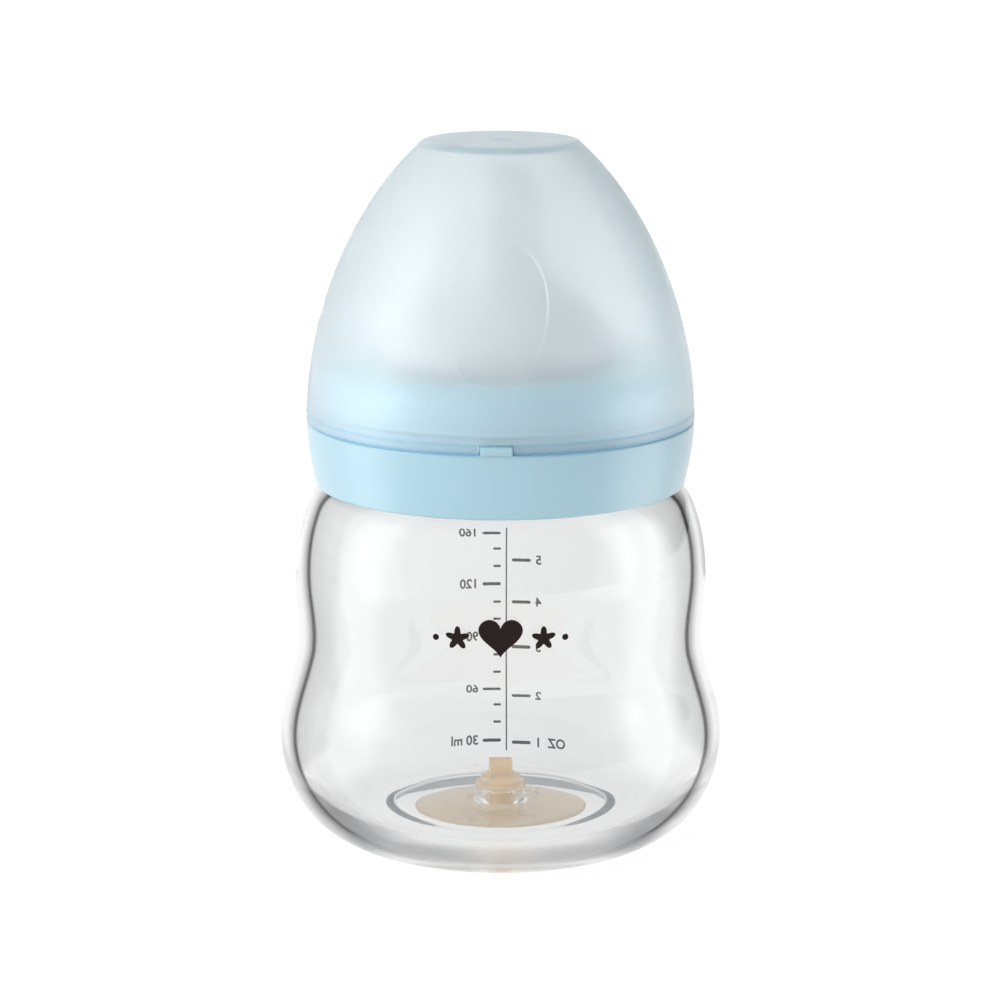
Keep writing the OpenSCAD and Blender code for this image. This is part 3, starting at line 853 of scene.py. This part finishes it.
def make_scale(material):
    """Graduations on the back: millilitres on the right and ounces on the left, as read from behind."""
    line_x = -1.15
    digit_h, tick, fine_tick = 1.75, 0.6, 0.45
    line_half, line_low, line_high = 0.13, 3.4, 51.3
    strokes = [[(line_x - line_half, line_low), (line_x + line_half, line_low),
                (line_x + line_half, line_high), (line_x - line_half, line_high)]]
    meshes = []
    millilitres = [(5.3, "30 ml"), (15.7, "60"), (25.7, "90"), (36.1, "120"), (48.8, "160")]
    for z, words in millilitres:
        stretch = SHOULDER_STRETCH if z > SHOULDER_START else 1.0
        strokes.append(bar(-0.1, 3.5, z, tick * stretch))
        meshes.append(text_mesh(words, 4.3, z, digit_h, "LEFT", stretch))
    for (low, _), (high, _) in zip(millilitres, millilitres[1:]):
        step = (high - low) * (0.27 if high > SHOULDER_START else 1 / 3)
        strokes += [bar(-0.1, 1.4, low + step * i, fine_tick) for i in (1, 2)]
    ounces = {4.95: "OZ  1", 14.2: "2", 23.8: "3", 32.6: "4", 40.7: "5"}
    for z, words in ounces.items():
        strokes.append(bar(-5.9, -2.2, z, tick))
        meshes.append(text_mesh(words, -6.8, z, digit_h, "RIGHT"))
    meshes.append(flat_polygon_mesh(strokes))
    ink_piece("printed_scale", material, meshes, True)


def heart(cx, cz, size):
    """Outline of a heart."""
    points = []
    for t in even_angles(48):
        x = 16 * math.sin(t) ** 3
        z = 13 * math.cos(t) - 5 * math.cos(2 * t) - 2 * math.cos(3 * t) - math.cos(4 * t)
        points.append((cx + size * x / 32, cz + size * (z + 2.5) / 32))
    return points[::-1]


def star(cx, cz, size):
    """Outline of a soft star with five points."""
    points = []
    for t in even_angles(60):
        r = size / 2 * (0.74 + 0.26 * math.cos(5 * t))
        points.append((cx + r * math.sin(t), cz + r * math.cos(t)))
    return points[::-1]


def make_motif(material):
    """Small picture on the front: a heart between two stars, with dots."""
    z = 44.0
    shapes = [heart(0, z, 7.4), star(-7.2, z, 4.2), star(7.2, z, 4.2)]
    shapes += [bar(x - 0.55, x + 0.55, z, 1.1) for x in (-10.9, 10.9)]
    ink_piece("front_motif", material, [flat_polygon_mesh(shapes)], False)


# ---------------------------------------------------------------- studio

FLOOR_GLOW = 0.92
WORLD_LEFT, WORLD_RIGHT, WORLD_REACH = 1.2, 0.28, 0.9
KEY_PLACE, KEY_AIM, KEY_SIZE, KEY_POWER = (-0.6, -0.25, 0.35), (0, 0, 0.07), (0.3, 0.6), 1.1
# Each card's first and last angle in degrees from the front towards +X, and its brightness
CARDS = {"left_card": (-104, -60, 2.05), "right_card": (60, 116, 2.1)}
# A card's points from its inner edge to its top: distance from the axis, height, and how solid it is there
CARD_ROWS = ((0.05, 0.0002, 0.6), (0.12, 0.0002, 1.0), (0.3, 0.0002, 1.0), (0.5, 0.0002, 1.0),
             (0.5, 0.2, 1.0), (0.5, 0.4, 0.6), (0.5, 0.6, 0.0))


def make_stage():
    """Wide pale floor just under the object."""
    mesh = bpy.data.meshes.new("floor")
    half = 6.0
    mesh.from_pydata([(-half, -half, 0), (half, -half, 0), (half, half, 0), (-half, half, 0)], [], [(0, 1, 2, 3)])
    floor = bpy.data.objects.new("floor", mesh)
    bpy.context.scene.collection.objects.link(floor)
    floor.location.z = -0.0002
    n = Nodes("pale_floor")
    n.link(n.blended(n.mapped(n.noise(3, 2.0), 0, 1), (0.14, 0.14, 0.14), (0.16, 0.16, 0.16)),
           n.shader.inputs["Base Color"])
    n.set(Roughness=0.9, Specular_IOR_Level=0.0, Emission_Color=(1, 1, 1, 1), Emission_Strength=FLOOR_GLOW)
    mesh.materials.append(n.material)


def make_card(name, start, end, brightness):
    """A bright studio card round part of the object: a fan on the floor and a wall at its far edge.

    Its borders fade away, and only reflections and refractions see it."""
    steps, soft_share = 24, 0.3
    verts, fades = [], []
    for i in range(steps + 1):
        t = i / steps
        across = smooth_step(min(t, 1 - t) / soft_share)
        for r, z, fade in CARD_ROWS:
            verts.append(turned(math.radians(start + (end - start) * t), r, z))
            fades.append(across * fade)
    mesh = bpy.data.meshes.new(name)
    mesh.from_pydata(verts, [], grid_faces(steps + 1, len(CARD_ROWS), closed=False))
    mesh.attributes.new("fade", "FLOAT", "POINT").data.foreach_set("value", fades)
    card = bpy.data.objects.new(name, mesh)
    bpy.context.scene.collection.objects.link(card)
    n = Nodes(name)
    fade = n.add("ShaderNodeAttribute", attribute_name="fade")
    clear = n.add("ShaderNodeBsdfTransparent")
    glow = n.add("ShaderNodeEmission", Strength=brightness)
    mix = n.add("ShaderNodeMixShader")
    n.link(fade.outputs["Fac"], mix.inputs[0])
    n.link(clear.outputs[0], mix.inputs[1])
    n.link(glow.outputs[0], mix.inputs[2])
    n.link(mix.outputs[0], n.output.inputs["Surface"])
    mesh.materials.append(n.material)
    card.visible_camera = False
    card.visible_diffuse = False
    card.visible_shadow = False


def area_light(name, place, aim, size, power):
    """A soft rectangular light, seen only in reflections."""
    data = bpy.data.lights.new(name, "AREA")
    data.shape = "RECTANGLE"
    data.size, data.size_y = size
    data.energy = power
    light = bpy.data.objects.new(name, data)
    bpy.context.scene.collection.objects.link(light)
    light.location = place
    light.rotation_mode = "QUATERNION"
    light.rotation_quaternion = (Vector(aim) - Vector(place)).to_track_quat("-Z", "Y")
    light.visible_camera = False
    light.visible_transmission = False
    return light


def make_lights():
    """World light from the left, a key light on the plastic pieces, and cards for the glass."""
    world = bpy.data.worlds.new("studio")
    bpy.context.scene.world = world
    world.use_nodes = True
    tree = world.node_tree
    background = tree.nodes["Background"]
    background.inputs["Color"].default_value = (1, 1, 1, 1)
    direction = tree.nodes.new("ShaderNodeTexCoord")
    parts = tree.nodes.new("ShaderNodeSeparateXYZ")
    ramp = tree.nodes.new("ShaderNodeMapRange")
    ramp.inputs["From Min"].default_value = -WORLD_REACH
    ramp.inputs["From Max"].default_value = WORLD_REACH
    ramp.inputs["To Min"].default_value = WORLD_LEFT
    ramp.inputs["To Max"].default_value = WORLD_RIGHT
    tree.links.new(direction.outputs["Generated"], parts.inputs[0])
    tree.links.new(parts.outputs["X"], ramp.inputs["Value"])
    tree.links.new(ramp.outputs["Result"], background.inputs["Strength"])
    key = area_light("key", KEY_PLACE, KEY_AIM, KEY_SIZE, KEY_POWER)
    lit = bpy.data.collections.new("lit_by_key")
    for name in ("screw_collar", "collar_thread", "collar_lug", "frosted_cap", "soft_nipple"):
        lit.objects.link(bpy.data.objects[name])
    key.light_linking.receiver_collection = lit
    for name, (start, end, brightness) in CARDS.items():
        make_card(name, start, end, brightness)


def make_camera():
    """Looks at the bottle's axis a little from above, as far away as its perspective asks."""
    pitch, distance, aim_z = math.radians(12.45), 0.6106, 0.0597
    data = bpy.data.cameras.new("camera")
    data.sensor_width = 36
    data.lens = 126
    data.clip_start = 0.05
    camera = bpy.data.objects.new("camera", data)
    bpy.context.scene.collection.objects.link(camera)
    camera.location = (-0.0001, -distance * math.cos(pitch), aim_z + distance * math.sin(pitch))
    camera.rotation_euler = (math.pi / 2 - pitch, 0, 0)
    bpy.context.scene.camera = camera


def set_view():
    """Plain colours, and enough bounces for glass behind glass."""
    scene = bpy.context.scene
    scene.view_settings.view_transform = "Standard"
    scene.cycles.max_bounces = 40
    scene.cycles.glossy_bounces = 32
    scene.cycles.transmission_bounces = 32
    scene.cycles.transparent_max_bounces = 32
    scene.cycles.sample_clamp_indirect = 6


# ---------------------------------------------------------------- build

make_camera()
make_glass(glass_material(), painted_shade_glass_side_material())
make_valve(valve_material())
make_nipple(nipple_material())
make_collar(collar_material())
make_cap(frosted_material())
make_scale(ink_material("grey_ink", (0.12, 0.12, 0.13), 0.5))
make_motif(ink_material("dark_ink", (0.018, 0.009, 0.008), 0.4))
make_stage()
make_lights()
set_view()
